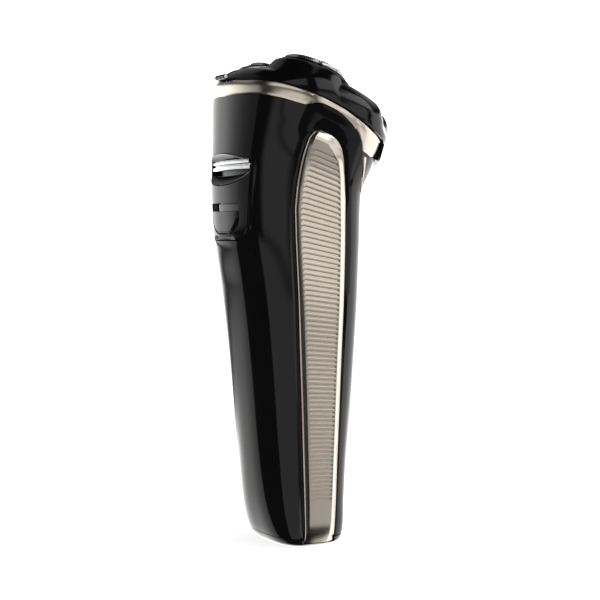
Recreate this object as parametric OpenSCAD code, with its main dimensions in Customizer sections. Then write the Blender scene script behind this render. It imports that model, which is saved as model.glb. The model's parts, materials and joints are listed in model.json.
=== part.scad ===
// Rotary electric shaver with three floating heads, a flip-open head and a rear pop-out trimmer.
// Frame: origin at the centre of the base, +Z up, front (power button) towards -Y, back towards +Y.
// The skin is one lofted surface. "level" runs up the body and every level is a flat section that
// leans a little more than the one below, until it meets the tilt of the shaving head.

/* [Head] */
// Tilt of the shaving head towards the front, degrees
head_tilt = 21.5; // [18:0.5:24]
// Level where the head cover parts from the body
parting = 141.5; // [140:0.5:144]
// Radius of the circle through the three cap centres
cap_circle = 14.5; // [14.2:0.1:14.8]
// How far that circle sits in front of the body axis
head_shift = 3; // [2:0.5:4]
// Outer radius of a steel shaving cap
cap_r = 10.4; // [10:0.1:10.5]
// Height of the caps' top above the parting plane
cap_top = 14.2; // [13.5:0.1:15]

/* [Body] */
// Wall thickness of the plastic shells
wall = 1.8; // [1.5:0.1:2]
// Height of the bronze collar below the parting plane
collar_h = 4.6; // [3:0.1:5]
// Half the angle that the front fascia spans
fascia_half = 30; // [25:1:35]
// Height of the power button's centre
button_z = 84; // [75:1:90]
// Radius of the power button
button_r = 6.5; // [5:0.5:7]

/* [Trimmer] */
// Height of the trimmer's hinge
trimmer_hinge_z = 100.9; // [100.5:0.1:101.5]
// Half length of the trimmer's comb
comb_half = 13.8; // [12:0.2:14]

/* [Drive] */
// Tooth module of the gears
tooth_module = 0.5;
// Teeth on the motor pinion
pinion_teeth = 26;
// Teeth on each drive gear
gear_teeth = 32;

/* [Hidden] */
$fn = 64;
gap = 0.15;
clear = 0.35;

// Body sections: level, half width, reach to the back, reach to the front, lean, squareness
sections = [
    [  0.0, 15.0,  9.5, 12.5,  0.0, 3.0],
    [  1.5, 16.8, 11.0, 13.6,  0.0, 3.0],
    [  5.0, 18.0, 12.6, 14.0,  0.0, 3.0],
    [ 14.0, 18.8, 14.8, 14.4,  1.0, 2.8],
    [ 30.0, 19.5, 16.8, 15.6,  2.5, 2.6],
    [ 60.0, 20.8, 19.8, 18.0,  5.0, 2.6],
    [ 82.0, 22.0, 22.9, 19.4,  8.0, 2.6],
    [100.0, 22.5, 26.2, 20.3, 12.0, 2.6],
    [120.0, 23.5, 27.6, 21.6, 18.0, 2.5],
    [132.0, 25.6, 27.6, 26.5, 20.5, 2.4],
    [parting, 28.0, 27.2, 30.5, head_tilt, 2.3],
];
last = len(sections) - 1;

// Edges of the side grip: level, then distance from the side line towards the back or front
grip_back = [[1.5, 4.6], [15, 5.5], [47, 7.2], [79, 9.1], [98, 10.6], [108, 11.2], [116, 10.6],
    [124, 9.2], [130, 7.6], [132.5, 5.9], [133.6, 3.4]];
grip_front = [[1.5, -6.6], [15, -7], [47, -7.6], [79, -8.1], [98, -8.4], [115, -8.3], [122, -7.6],
    [128, -6.4], [131, -5.2], [132.8, -3.2], [133.6, -1]];

// Edges of the collar's front arms: level, then angle round the body
arm_side = [[121, 225], [126, 216.5], [132.5, 210], [137.5, 204]];
arm_front = [[121, 226], [128.5, 220], [132.5, 219.5], [134.3, 229], [137.5, 229]];

cutter_angles = [150, 30, 270];
base_top = 3;
screw_y = -1.5;
inlet_y = -5.6;
shell_top = parting - collar_h - gap;
button_angle = 38;
button_low = 134.6;
pivot_y = 24.6;
lever_z = 108;

// Heights in the tilted head frame, measured from the parting plane
cover_low = 0.3;
cover_belly = 5;
cover_top = 11.5;
frame_low = 3.4;
frame_top = 4.8;
ring_low = 9.3;
ring_top = 12.6;
deck_low = -1.8;
deck_top = -0.4;
gear_low = -4.5;
gear_top = -2.3;
tray_low = -6.3;
tray_top = -4.9;
motor_top = -9;
motor_low = -34;
motor_r = 9;
tip_top = 8.4;
ring_r = 11.6;
hinge_v = 28.5;
hinge_w = 0.9;
hinge_half = 3.3;
hinge_split = 1.3;

black = [0.06, 0.06, 0.07];
bronze = [0.74, 0.67, 0.57];
steel = [0.78, 0.79, 0.8];
grey = [0.35, 0.36, 0.38];
white = [0.85, 0.85, 0.83];

// ---------- the lofted skin

function rise(i, c) =
    (sections[i + 1][c] - sections[i][c]) / (sections[i + 1][0] - sections[i][0]);
function slope(i, c) =
    i == 0 ? rise(0, c) : i == last ? rise(last - 1, c)
    : rise(i - 1, c) * rise(i, c) <= 0 ? 0
    : 2 * rise(i - 1, c) * rise(i, c) / (rise(i - 1, c) + rise(i, c));
function span(t) = max(0, min(last - 1, len([for (row = sections) if (row[0] <= t) 1]) - 1));
// Value of one column of the section table at any level, on a smooth curve
function section(t, c) =
    let (i = span(t), h = sections[i + 1][0] - sections[i][0], s = (t - sections[i][0]) / h,
         s2 = s * s, s3 = s2 * s)
    (2 * s3 - 3 * s2 + 1) * sections[i][c] + (s3 - 2 * s2 + s) * h * slope(i, c)
    + (3 * s2 - 2 * s3) * sections[i + 1][c] + (s3 - s2) * h * slope(i + 1, c);

function power(x, e) = sign(x) * pow(abs(x), e);
function leaned(x, v, t) = let (lean = section(t, 4)) [x, v * cos(lean), t + v * sin(lean)];
// Point of a flat rounded outline, from half width, back and front reach
function outline_point(phi, a, b, f, n) =
    [a * power(cos(phi), 2 / n), (sin(phi) >= 0 ? b : f) * power(sin(phi), 2 / n)];
// Point of the skin at an angle and a level, moved outwards by off
function skin(phi, t, off = 0) =
    let (p = outline_point(phi, section(t, 1) + off, section(t, 2) + off, section(t, 3) + off,
                           section(t, 5)))
    leaned(p[0], p[1], t);
// Point of the left flank at a distance v behind the side line
function flank(v, t, off = 0) =
    let (n = section(t, 5), reach = (v >= 0 ? section(t, 2) : section(t, 3)) + off)
    leaned(-(section(t, 1) + off) * pow(1 - pow(abs(v) / reach, n), 1 / n), v, t);

function spread(from, to, steps) = [for (i = [0:steps]) from + (to - from) * i / steps];

// Closed solid between two grids of points; the grids wrap round when closed is true
module slab(outer, inner, closed = false) {
    rows = len(outer);
    cols = len(outer[0]);
    ends = closed ? cols - 1 : cols - 2;
    half = rows * cols;
    function at(s, i, j) = s * half + i * cols + j % cols;
    function quad(a, b, c, d) = [[a, b, c], [a, c, d]];
    faces = concat(
        [for (i = [0:rows - 2], j = [0:ends], q = quad(at(0, i, j), at(0, i + 1, j),
            at(0, i + 1, j + 1), at(0, i, j + 1))) q],
        [for (i = [0:rows - 2], j = [0:ends], q = quad(at(1, i, j), at(1, i, j + 1),
            at(1, i + 1, j + 1), at(1, i + 1, j))) q],
        [for (j = [0:ends], q = quad(at(0, 0, j), at(0, 0, j + 1), at(1, 0, j + 1),
            at(1, 0, j))) q],
        [for (j = [0:ends], q = quad(at(0, rows - 1, j), at(1, rows - 1, j),
            at(1, rows - 1, j + 1), at(0, rows - 1, j + 1))) q],
        closed ? [] : [for (i = [0:rows - 2], q = quad(at(0, i, 0), at(1, i, 0),
            at(1, i + 1, 0), at(0, i + 1, 0))) q],
        closed ? [] : [for (i = [0:rows - 2], q = quad(at(0, i, cols - 1),
            at(0, i + 1, cols - 1), at(1, i + 1, cols - 1), at(1, i, cols - 1))) q]);
    polyhedron(points = [for (g = [outer, inner], row = g, p = row) p], faces = faces);
}

// Piece of the skin between two angles and over a list of levels
module skin_patch(phi1, phi2, levels, out, inn, steps) {
    turns = spread(phi1, phi2, steps);
    slab([for (t = levels) [for (p = turns) skin(p, t, out)]],
         [for (t = levels) [for (p = turns) skin(p, t, inn)]]);
}

// The same, with the angles given as tables over the level
module skin_strip(side, front, levels, out, inn, steps) {
    function row(t, off) = [for (p = spread(lookup(t, side), lookup(t, front), steps)) skin(p, t, off)];
    slab([for (t = levels) row(t, out)], [for (t = levels) row(t, inn)]);
}

// One mesh of everything inside, for shells that have no bore
module as_mesh() resize([0, 0, 0]) children();

// The tilted frame of the shaving head, with z measured from the parting plane
module head() translate([0, 0, parting]) rotate([head_tilt, 0, 0]) children();
module head_centre() head() translate([0, -head_shift, 0]) children();
module at_cutter(k)
    head_centre() translate(cap_circle * [cos(cutter_angles[k]), sin(cutter_angles[k]), 0]) children();
module each_cutter() for (k = [0:2]) at_cutter(k) children();

// Flat outline in the head frame, and the slice of it between two heights
module head_outline(a, b, f, n = 2.3)
    polygon([for (phi = [0:5:355]) outline_point(phi, a, b, f, n)]);
module head_slice(low, top, a, b, f)
    translate([0, 0, low]) linear_extrude(top - low) head_outline(a, b, f);

module tube(r_out, r_in, low, top) translate([0, 0, low]) difference() {
    cylinder(r = r_out, h = top - low);
    translate([0, 0, -1]) cylinder(r = r_in, h = top - low + 2);
}
module rod(r, low, top) translate([0, 0, low]) cylinder(r = r, h = top - low);
// Rod and box that run along X or Y
module rod_x(r, x1, x2, y, z) translate([x1, y, z]) rotate([0, 90, 0]) cylinder(r = r, h = x2 - x1);
module rod_y(r, y1, y2, x, z) translate([x, y1, z]) rotate([-90, 0, 0]) cylinder(r = r, h = y2 - y1);
module box(low, top) translate(low) cube(top - low);

// ---------- outer shells

full_levels = concat(spread(base_top + gap, 14, 3), spread(22, 92, 9), spread(98, 126, 6),
    spread(129, shell_top, 3));

module grip_slab(side, grow, out, inn) {
    levels = concat(spread(base_top + 0.6 - grow, 24, 2), spread(34, 114, 9), spread(119, 129, 3),
        [131, 132.4, 133.2, 133.6 + grow]);
    function row(t, off) = [for (v = spread(lookup(t, grip_front) - grow,
        lookup(t, grip_back) + grow, 7)) flank(v, t, off)];
    mirror([side < 0 ? 0 : 1, 0, 0])
        slab([for (t = levels) [for (i = [7:-1:0]) row(t, out)[i]]],
             [for (t = levels) [for (i = [7:-1:0]) row(t, inn)[i]]]);
}

// Outline of the trimmer flap, seen from the back
module flap_outline(grow = 0, top = 121.8)
    offset(delta = grow) {
        hull() {
            for (x = [-7.4, 7.4]) translate([x, 105.6]) circle(r = 5.5, $fn = 32);
            translate([-14.6, 120.8]) square([29.2, 1]);
        }
        translate([-14.6, 120.8]) square([29.2, top - 120.8]);
    }
module through_back() translate([0, 40, 0]) rotate([90, 0, 0]) linear_extrude(30) children();
module flap_window() {
    through_back() flap_outline(clear, 127.2);
    box([-7.5, 10, 99.5], [7.5, 40, 102.4]);
}

module button_pocket()
    skin_patch(270 - button_angle - 2, 270 + button_angle + 2, spread(button_low - 0.3, parting + 3, 3),
        4, -1.5, 12);

module rear_shell() color(black) as_mesh() difference() {
    skin_patch(fascia_half - 90, 270 - fascia_half, full_levels, 0, -wall, 38);
    for (side = [-1, 1]) grip_slab(side, gap, 1, -0.8);
    flap_window();
    button_pocket();
}

module front_fascia() color(black) as_mesh() difference() {
    skin_patch(270.6 - fascia_half, 269.4 + fascia_half, full_levels, 0, -wall, 8);
    button_pocket();
    rod_y(button_r + 1.1, -40, -10, 0, button_z);
    rod_y(1.5, -40, -10, 0, 62);
}

module side_grip(side) color(bronze) grip_slab(side, 0, 0.3, -0.7);
module side_grip_left() side_grip(-1);
module side_grip_right() side_grip(1);

module collar() color(bronze) as_mesh() {
    difference() {
        skin_patch(-90, 269.9, spread(parting - collar_h, parting, 2), 0, -2, 48);
        button_pocket();
        skin_patch(262, 278, spread(parting - collar_h - 1, parting + 1, 2), 2, -4, 4);
    }
    for (m = [0, 1]) mirror([m, 0, 0])
        difference() {
            skin_strip(arm_side, arm_front, concat(spread(121, 132.5, 4), [134.2, parting - collar_h + 0.1]),
                0.45, 0.05, 4);
            button_pocket();
        }
}

module base_plate() color(black) difference() {
    for (z = [0, 1, 2]) translate([0, 0, z]) linear_extrude(1)
        polygon([for (phi = [0:5:355]) outline_point(phi, section(z + 0.6, 1), section(z + 0.6, 2),
            section(z + 0.6, 3), 3)]);
    translate([0, inlet_y, -1]) linear_extrude(5) stadium(15.2, 8.8);
    for (x = [-12, 12]) translate([x, screw_y, 0]) {
        rod(1, -1, 4);
        rod(2, -1, 1.5);
    }
}

module stadium(w, d) {
    square([w - d, d], center = true);
    for (s = [-1, 1]) translate([s * (w - d) / 2, 0]) circle(d = d);
}

module screw(head_z, tip_z, head_r, r) {
    s = sign(tip_z - head_z);
    translate([0, 0, min(head_z, head_z + s)]) cylinder(r = head_r, h = 1);
    translate([0, 0, min(head_z + s, tip_z)]) cylinder(r = r, h = abs(tip_z - head_z) - 1);
}

module base_screws() color(steel)
    for (x = [-12, 12]) translate([x, screw_y, 0]) screw(0.4, 9, 1.8, 0.8);

module inlet_housing() color(black) translate([0, inlet_y, 0]) difference() {
    union() {
        translate([0, 0, 0.4]) linear_extrude(10.6) stadium(15, 8.6);
        translate([0, 0, base_top + 0.05]) linear_extrude(1.2) stadium(18, 11.6);
    }
    translate([0, 0, -1]) linear_extrude(10.6) stadium(13, 6.6);
    for (x = [-4.3, 4.3]) translate([x, 0, 0]) rod(1.2, 2, 14);
}

module inlet_pins() color(steel)
    for (x = [-4.3, 4.3]) translate([x, inlet_y, 0]) rod(1.2, 2, 12.5);

module button_bezel() color(steel) difference() {
    rod_y(button_r + 1, -20.2, -17.4, 0, button_z);
    rod_y(button_r + 0.2, -30, -10, 0, button_z);
}

module power_button() color(black) {
    rod_y(button_r, -19.9, -16.6, 0, button_z);
    rod_y(button_r + 0.8, -16.7, -16, 0, button_z);
    rod_y(2, -16.2, -13.8, 0, button_z);
}

module charge_light() color([0.6, 0.75, 0.9]) rod_y(1.45, -18.1, -14.5, 0, 62);

// ---------- shaving head

module head_release_button() color(black)
    skin_patch(270 - button_angle, 270 + button_angle, spread(button_low, parting - 0.4, 3), 1.6, -0.4, 12);

module release_guide() color(grey)
    skin_patch(268 - button_angle, 272 + button_angle, spread(button_low, parting - 0.3, 3), -2.15, -2.9, 12);

module cover_lobes(r_low, r_top, low, top) {
    for (a = cutter_angles) translate(cap_circle * [cos(a), sin(a), 0] - [0, head_shift, 0])
        translate([0, 0, low]) cylinder(r1 = r_low, r2 = r_top, h = top - low);
    translate([0, -head_shift, low]) cylinder(r = 6, h = top - low);
}

module head_cover() color(black) head() difference() {
    union() {
        head_slice(cover_low, cover_belly, 28, 26.6, 32.2);
        intersection() {
            head_slice(cover_belly - 0.1, cover_top, 28, 26.6, 32.2);
            cover_lobes(17.5, 13.4, cover_belly - 0.1, cover_top);
        }
    }
    head_slice(cover_low - 1, cover_belly - 0.1, 26.4, 25, 30.6);
    intersection() {
        head_slice(cover_low - 1, 9.8, 26.4, 25, 30.6);
        cover_lobes(15.8, 12.4, cover_belly - 0.2, 9.8);
    }
    for (a = cutter_angles) translate(cap_circle * [cos(a), sin(a), 0] - [0, head_shift, 0])
        rod(ring_r + 0.4, cover_belly, cover_top + 1);
}

module hinge_knuckle(x1, x2) difference() {
    rod_x(1, x1, x2, hinge_v, hinge_w);
    rod_x(0.65, x1 - 1, x2 + 1, hinge_v, hinge_w);
}

module hinge_leaf_cover() color(black) head() {
    hinge_knuckle(-hinge_split, hinge_split);
    box([-hinge_split, 26.7, hinge_w + 0.8], [hinge_split, 27.6, 4]);
    box([-hinge_split, 27.3, hinge_w + 0.8], [hinge_split, hinge_v, hinge_w + 1.6]);
}

module hinge_leaf_body() color(black) head() for (m = [0, 1]) mirror([m, 0, 0]) {
    hinge_knuckle(hinge_split + 0.2, hinge_half);
    difference() {
        box([hinge_split + 0.2, 27.5, -3.4], [hinge_half, 28.5, hinge_w]);
        rod_x(0.9, 1, 6, hinge_v, hinge_w);
    }
}

module head_hinge_pin() color(steel) head() rod_x(0.6, -hinge_half, hinge_half, hinge_v, hinge_w);

// Black ring that carries one cap
module cap_ring(k) color(black) at_cutter(k) {
    tube(ring_r, cap_r + 0.1, ring_low + 1.1, ring_top);
    tube(ring_r, cap_r - 0.4, ring_low, ring_low + 1.2);
}
module cap_ring_1() cap_ring(0);
module cap_ring_2() cap_ring(1);
module cap_ring_3() cap_ring(2);

// Thin steel cap with a raised outer track and a dished centre
module shaving_cap(k) color(steel) at_cutter(k) rotate_extrude() polygon([
    [cap_r, ring_low + 1.25], [cap_r, cap_top - 0.3], [cap_r - 0.3, cap_top], [7.9, cap_top],
    [7.5, cap_top - 0.7], [4.2, cap_top - 0.9], [3.8, cap_top - 1.3], [0, cap_top - 1.3],
    [0, cap_top - 1.7], [4.1, cap_top - 1.7], [4.5, cap_top - 1.3], [7.3, cap_top - 1.1],
    [7.7, cap_top - 0.45], [cap_r - 0.5, cap_top - 0.45], [cap_r - 0.5, ring_low + 1.25]]);
module shaving_cap_1() shaving_cap(0);
module shaving_cap_2() shaving_cap(1);
module shaving_cap_3() shaving_cap(2);

// Spinning cutter: hub with a drive socket, disc and upright blades
module inner_cutter(k) color(steel) at_cutter(k) {
    difference() {
        union() {
            rod(3.3, 6.7, 10.5);
            rod(8.8, 10.3, 11.1);
        }
        rod(2.2, 5, 9.9);
    }
    for (i = [0:14]) rotate(i * 24) box([7.95, -0.3, 11], [9.5, 0.3, cap_top - 0.6]);
}
module inner_cutter_1() inner_cutter(0);
module inner_cutter_2() inner_cutter(1);
module inner_cutter_3() inner_cutter(2);

// Plate that holds the cutters in the cover, open below each cap for the hair
module cutter_frame() color(grey) head() difference() {
    head_slice(frame_low, frame_top, 26, 24.4, 30.2);
    translate([0, -head_shift, 0]) {
        rod(1.6, 0, 8);
        for (a = cutter_angles) translate(cap_circle * [cos(a), sin(a), 0]) {
            rod(4, 0, 8);
            difference() {
                rod(10.2, 0, 8);
                rod(5.4, -1, 9);
                for (s = [0:2]) rotate(s * 120 + a) box([0, -0.9, -1], [12, 0.9, 9]);
            }
        }
    }
}

module frame_lock_knob() color(white) head_centre() {
    rod(1.55, frame_low - 0.5, frame_top + 0.8);
    rod(5, frame_low - 1, frame_low - 0.2);
    box([-4, -0.8, frame_low - 2.2], [4, 0.8, frame_low - 0.9]);
    rod(2.6, frame_top + 0.1, frame_top + 0.9);
}

// ---------- drive

module toothed_wheel(teeth, low, top) {
    pitch = 360 / teeth;
    root = tooth_module * (teeth / 2 - 1.15);
    tip = tooth_module * (teeth / 2 + 0.85);
    translate([0, 0, low]) linear_extrude(top - low) polygon([for (i = [0:teeth - 1],
        q = [[-0.29, root], [-0.12, tip], [0.12, tip], [0.29, root]])
        q[1] * [cos((i + q[0]) * pitch), sin((i + q[0]) * pitch)]]);
}

module drive_gear(k) {
    a = cutter_angles[k];
    mesh_turn = a + 180 + a * pinion_teeth / gear_teeth - 180 / gear_teeth;
    color(white) at_cutter(k) rotate(mesh_turn) difference() {
        toothed_wheel(gear_teeth, gear_low, gear_top);
        rod(0.85, gear_low - 1, gear_top - 0.4);
    }
}
module drive_gear_1() drive_gear(0);
module drive_gear_2() drive_gear(1);
module drive_gear_3() drive_gear(2);

module drive_spindle(k) color(white) at_cutter(k) {
    rod(2.2, gear_top, 3.2);
    rod(1.4, 3.1, tip_top);
    box([-1.9, -0.5, tip_top - 1.5], [1.9, 0.5, tip_top]);
}
module drive_spindle_1() drive_spindle(0);
module drive_spindle_2() drive_spindle(1);
module drive_spindle_3() drive_spindle(2);

module gear_axles() color(steel) each_cutter() rod(0.8, tray_low, gear_top - 0.6);

module motor_pinion() color(white) head_centre() difference() {
    toothed_wheel(pinion_teeth, gear_low, gear_top);
    rod(1, gear_low - 1, gear_top + 1);
}

post_angles = [90, 210, 330];
post_r = 12;
module at_posts() head_centre() for (a = post_angles) translate(post_r * [cos(a), sin(a), 0]) children();

module gear_tray() color(grey) difference() {
    union() {
        head_centre() rod(10, tray_low, tray_top);
        each_cutter() rod(7.5, tray_low, tray_top);
        at_posts() rod(2.2, tray_low, deck_low - 0.05);
        head_centre() tube(9.4, 7.6, motor_top, tray_low);
    }
    head_centre() rod(3, motor_low, 0);
    each_cutter() rod(0.8, tray_low - 1, tray_top + 1);
    at_posts() rod(0.8, tray_top, deck_top);
}

module gear_deck() color(grey) difference() {
    union() {
        head() head_slice(deck_low, deck_top, 25.2, 24.6, 26.4);
        each_cutter() rod(4, deck_top - 0.1, 1.4);
    }
    each_cutter() rod(2.7, deck_low - 1, 3);
    at_posts() rod(1, deck_low - 1, 1);
}

module deck_screws() color(steel) at_posts() screw(deck_top + 1.05, -4.6, 1.8, 0.75);

module motor_can() color(steel) head_centre() difference() {
    rod(motor_r, motor_low + 2, motor_top);
    rod(motor_r - 0.8, motor_low + 1, motor_top - 0.8);
    rod(1.05, motor_top - 2, motor_top + 1);
}

module motor_end_cap() color(black) head_centre() difference() {
    rod(motor_r, motor_low, motor_low + 2);
    rod(1.05, motor_low - 1, motor_low + 3);
}

module motor_shaft() color(steel) head_centre() rod(1, motor_low, gear_top);

module motor_rotor() color([0.7, 0.4, 0.2]) head_centre() tube(7.2, 1, motor_low + 4, motor_top - 4);

// ---------- inside the handle

battery_y = 3.2;
board_low = 16;
board_top = 92;

module battery_cell() color([0.2, 0.35, 0.6]) translate([0, battery_y, 0]) {
    rod(7, 15.5, 63.6);
    rod(2.5, 63.5, 64.6);
}

module battery_tabs() color(steel) {
    box([-2, battery_y - 4, 64.65], [2, battery_y + 4, 64.95]);
    box([-2, battery_y - 4, 15.1], [2, battery_y + 4, 15.4]);
}

module inner_frame() color(white) difference() {
    union() {
        box([-10.5, -7.6, 12], [10.5, -6, 112]);
        box([-14, -7.6, 12], [14, 6, 14]);
        for (z = [24, 50]) box([-8.6, -6.1, z], [8.6, battery_y, z + 4]);
        for (x = [-12, 12]) translate([x, screw_y, 0]) rod(2, base_top + 0.1, 12.1);
        box([-4, -7.6, 106], [4, -4.6, 115]);
    }
    translate([0, battery_y, 0]) rod(7.05, 14.5, 70);
    box([-8, -7.7, 11], [8, 3, 15]);
    for (x = [-12, 12]) translate([x, screw_y, 0]) rod(0.8, 0, 10);
}

module circuit_board() color([0.1, 0.4, 0.25]) box([-10.5, -9.4, board_low], [10.5, -7.8, board_top]);

module board_parts() color(black) {
    box([-3, -10.9, 36], [3, -9.4, 42]);
    box([-6.5, -10.4, 48], [-3.5, -9.4, 50]);
    box([3.5, -10.4, 48], [6.5, -9.4, 50]);
    box([-1, -10.6, 60.8], [1, -9.4, 63.2]);
    box([-7, -11.4, 22], [-3, -9.4, 27]);
    rod_y(2.5, -12, -9.4, 5.5, 26);
}

module power_switch() color(grey) {
    box([-3, -12.6, button_z - 3], [3, -9.4, button_z + 3]);
    rod_y(1.5, -13.1, -12.5, 0, button_z);
}

// ---------- pop-out trimmer

trimmer_skin = spread(88, 126, 12);
module back_skin(out, inn) skin_patch(55, 125, trimmer_skin, out, inn, 16);

module trimmer_flap() color(black) as_mesh() difference() {
    intersection() {
        back_skin(0, -2.2);
        through_back() flap_outline();
    }
    intersection() {
        back_skin(2, -1.35);
        through_back() hull() {
            translate([0, 107.5]) square([18.6, 9], center = true);
            translate([0, 103]) square([14, 1.4], center = true);
        }
    }
    box([-7.5, 10, 99], [7.5, 40, 102.2]);
}

module trimmer_slider() color(black) as_mesh() intersection() {
    back_skin(0, -1);
    through_back() hull() {
        translate([0, 107.6]) square([17.8, 4], center = true);
        translate([0, 103.2]) square([13.2, 1.2], center = true);
    }
}

module trimmer_comb() color(steel) {
    box([-comb_half, 23.1, 121.9], [comb_half, 25.3, 123.4]);
    for (i = [-11:11]) box([i * 1.2 - 0.3, 23.1, 123.3], [i * 1.2 + 0.3, 23.7, 125.9]);
}

module trimmer_blade() color(steel) {
    box([-12.6, 23.85, 123.6], [12.6, 25.3, 125]);
    for (i = [-9:9]) box([i * 1.3 - 0.3, 23.85, 124.9], [i * 1.3 + 0.3, 24.4, 125.7]);
}

module trimmer_hinge_knuckle() color(black) difference() {
    union() {
        rod_x(1, -4.9, 4.9, pivot_y, trimmer_hinge_z);
        box([-4.9, 23.6, trimmer_hinge_z], [4.9, 25.2, 102.15]);
    }
    rod_x(0.65, -6, 6, pivot_y, trimmer_hinge_z);
}

module trimmer_hinge_ears() color(black) difference() {
    for (s = [-1, 1]) box([s * 6.2 - 1, 22.6, 99.8], [s * 6.2 + 1, 25.4, 102]);
    rod_x(0.6, -8, 8, pivot_y, trimmer_hinge_z);
}

module trimmer_hinge_pin() color(steel) rod_x(0.6, -7.1, 7.1, pivot_y, trimmer_hinge_z);

module trimmer_pocket() color(grey) as_mesh() intersection() {
    back_skin(-3.5, -4.4);
    through_back() flap_outline(1.5, 128);
}

module trimmer_drive_lever() color(white) difference() {
    union() {
        rod_y(2.2, 19.2, 20.4, 0, lever_z);
        box([-1.2, 19.2, lever_z], [1.2, 20.4, lever_z + 13]);
    }
    rod_y(0.85, 18, 22, 0, lever_z);
}

module trimmer_lever_pin() color(steel) rod_y(0.8, 18.9, 21.2, 0, lever_z);

rear_shell();
front_fascia();
side_grip_left();
side_grip_right();
collar();
base_plate();
base_screws();
inlet_housing();
inlet_pins();
power_button();
button_bezel();
charge_light();
head_release_button();
release_guide();
head_cover();
hinge_leaf_cover();
hinge_leaf_body();
head_hinge_pin();
cap_ring_1();
cap_ring_2();
cap_ring_3();
shaving_cap_1();
shaving_cap_2();
shaving_cap_3();
inner_cutter_1();
inner_cutter_2();
inner_cutter_3();
cutter_frame();
frame_lock_knob();
drive_gear_1();
drive_gear_2();
drive_gear_3();
drive_spindle_1();
drive_spindle_2();
drive_spindle_3();
gear_axles();
motor_pinion();
gear_tray();
gear_deck();
deck_screws();
motor_can();
motor_end_cap();
motor_shaft();
motor_rotor();
battery_cell();
battery_tabs();
inner_frame();
circuit_board();
board_parts();
power_switch();
trimmer_flap();
trimmer_slider();
trimmer_comb();
trimmer_blade();
trimmer_hinge_knuckle();
trimmer_hinge_ears();
trimmer_hinge_pin();
trimmer_pocket();
trimmer_drive_lever();
trimmer_lever_pin();
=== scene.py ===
"""Looks of the electric shaver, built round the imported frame. Lengths are in millimetres until
a piece is finished, when its mesh is scaled to metres."""

import bisect
import functools
import json
import math

import bmesh
import bpy
from mathutils import Matrix, Vector


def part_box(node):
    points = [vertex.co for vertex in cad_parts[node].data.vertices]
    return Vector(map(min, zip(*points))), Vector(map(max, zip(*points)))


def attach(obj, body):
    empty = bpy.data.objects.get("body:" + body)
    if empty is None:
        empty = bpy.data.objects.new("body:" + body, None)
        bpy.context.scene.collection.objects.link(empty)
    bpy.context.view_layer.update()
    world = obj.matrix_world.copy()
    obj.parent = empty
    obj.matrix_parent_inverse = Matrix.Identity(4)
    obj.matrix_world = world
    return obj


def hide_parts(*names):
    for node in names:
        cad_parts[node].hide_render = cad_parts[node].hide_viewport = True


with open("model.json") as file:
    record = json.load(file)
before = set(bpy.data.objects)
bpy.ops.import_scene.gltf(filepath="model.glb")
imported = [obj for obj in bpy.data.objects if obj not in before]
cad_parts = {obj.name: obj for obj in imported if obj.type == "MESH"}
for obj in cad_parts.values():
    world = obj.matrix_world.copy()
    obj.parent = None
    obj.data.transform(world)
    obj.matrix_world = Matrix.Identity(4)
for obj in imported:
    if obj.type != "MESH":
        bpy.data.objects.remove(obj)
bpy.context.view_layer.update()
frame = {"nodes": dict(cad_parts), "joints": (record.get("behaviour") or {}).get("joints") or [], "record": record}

MM = 0.001
joints = {joint["name"]: joint for joint in frame["joints"]}

# ---------- the handle's skin: level, half width, back reach, front reach, lean, squareness

SECTIONS = [
    (0.0, 15.0, 9.5, 12.5, 0.0, 3.0),
    (1.5, 16.8, 11.0, 13.6, 0.0, 3.0),
    (5.0, 18.0, 12.6, 14.0, 0.0, 3.0),
    (14.0, 18.8, 14.8, 14.4, 1.0, 2.8),
    (30.0, 19.5, 16.8, 15.6, 2.5, 2.6),
    (60.0, 20.8, 19.8, 18.0, 5.0, 2.6),
    (82.0, 22.0, 22.9, 19.4, 8.0, 2.6),
    (100.0, 22.5, 26.2, 20.3, 12.0, 2.6),
    (120.0, 23.5, 27.6, 21.6, 18.0, 2.5),
    (132.0, 25.6, 27.6, 26.5, 20.5, 2.4),
    (141.5, 28.0, 27.2, 30.5, 21.5, 2.3),
]
LEVELS = [row[0] for row in SECTIONS]
LAST = len(SECTIONS) - 1

spin = joints["motor_spin"]
TILT = math.atan2(-spin["axis"][1], spin["axis"][2])
HUB_V = spin["pos_m"][1] / MM / math.cos(TILT)
PARTING = spin["pos_m"][2] / MM - HUB_V * math.sin(TILT)
BASE_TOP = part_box("base_plate")[1].z / MM
SEAM = 0.15
WALL = 1.8
FASCIA_EDGE = 240


def lookup(table, key):
    """Value of a table of (key, value) rows at key, on straight lines between the rows."""
    if key <= table[0][0]:
        return table[0][1]
    if key >= table[-1][0]:
        return table[-1][1]
    i = bisect.bisect_right([row[0] for row in table], key) - 1
    (low, a), (high, b) = table[i], table[i + 1]
    return a + (b - a) * (key - low) / (high - low)


def ease(share):
    share = min(max(share, 0.0), 1.0)
    return share * share * (3 - 2 * share)


def rise(i, column):
    low, high = SECTIONS[i], SECTIONS[i + 1]
    return (high[column] - low[column]) / (high[0] - low[0])


def slope(i, column):
    """Slope of one column at a section, chosen so that the curve never overshoots."""
    if i == 0:
        return rise(0, column)
    if i == LAST:
        return rise(LAST - 1, column)
    below, above = rise(i - 1, column), rise(i, column)
    return 0.0 if below * above <= 0 else 2 * below * above / (below + above)


@functools.lru_cache(maxsize=None)
def section(level):
    """Half width, back reach, front reach, lean and squareness at a level."""
    i = min(max(bisect.bisect_right(LEVELS, level) - 1, 0), LAST - 1)
    low, high = SECTIONS[i], SECTIONS[i + 1]
    height = high[0] - low[0]
    s = (level - low[0]) / height
    s2, s3 = s * s, s * s * s
    return tuple(
        (2 * s3 - 3 * s2 + 1) * low[c] + (s3 - 2 * s2 + s) * height * slope(i, c)
        + (3 * s2 - 2 * s3) * high[c] + (s3 - s2) * height * slope(i + 1, c)
        for c in range(1, 6))


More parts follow.
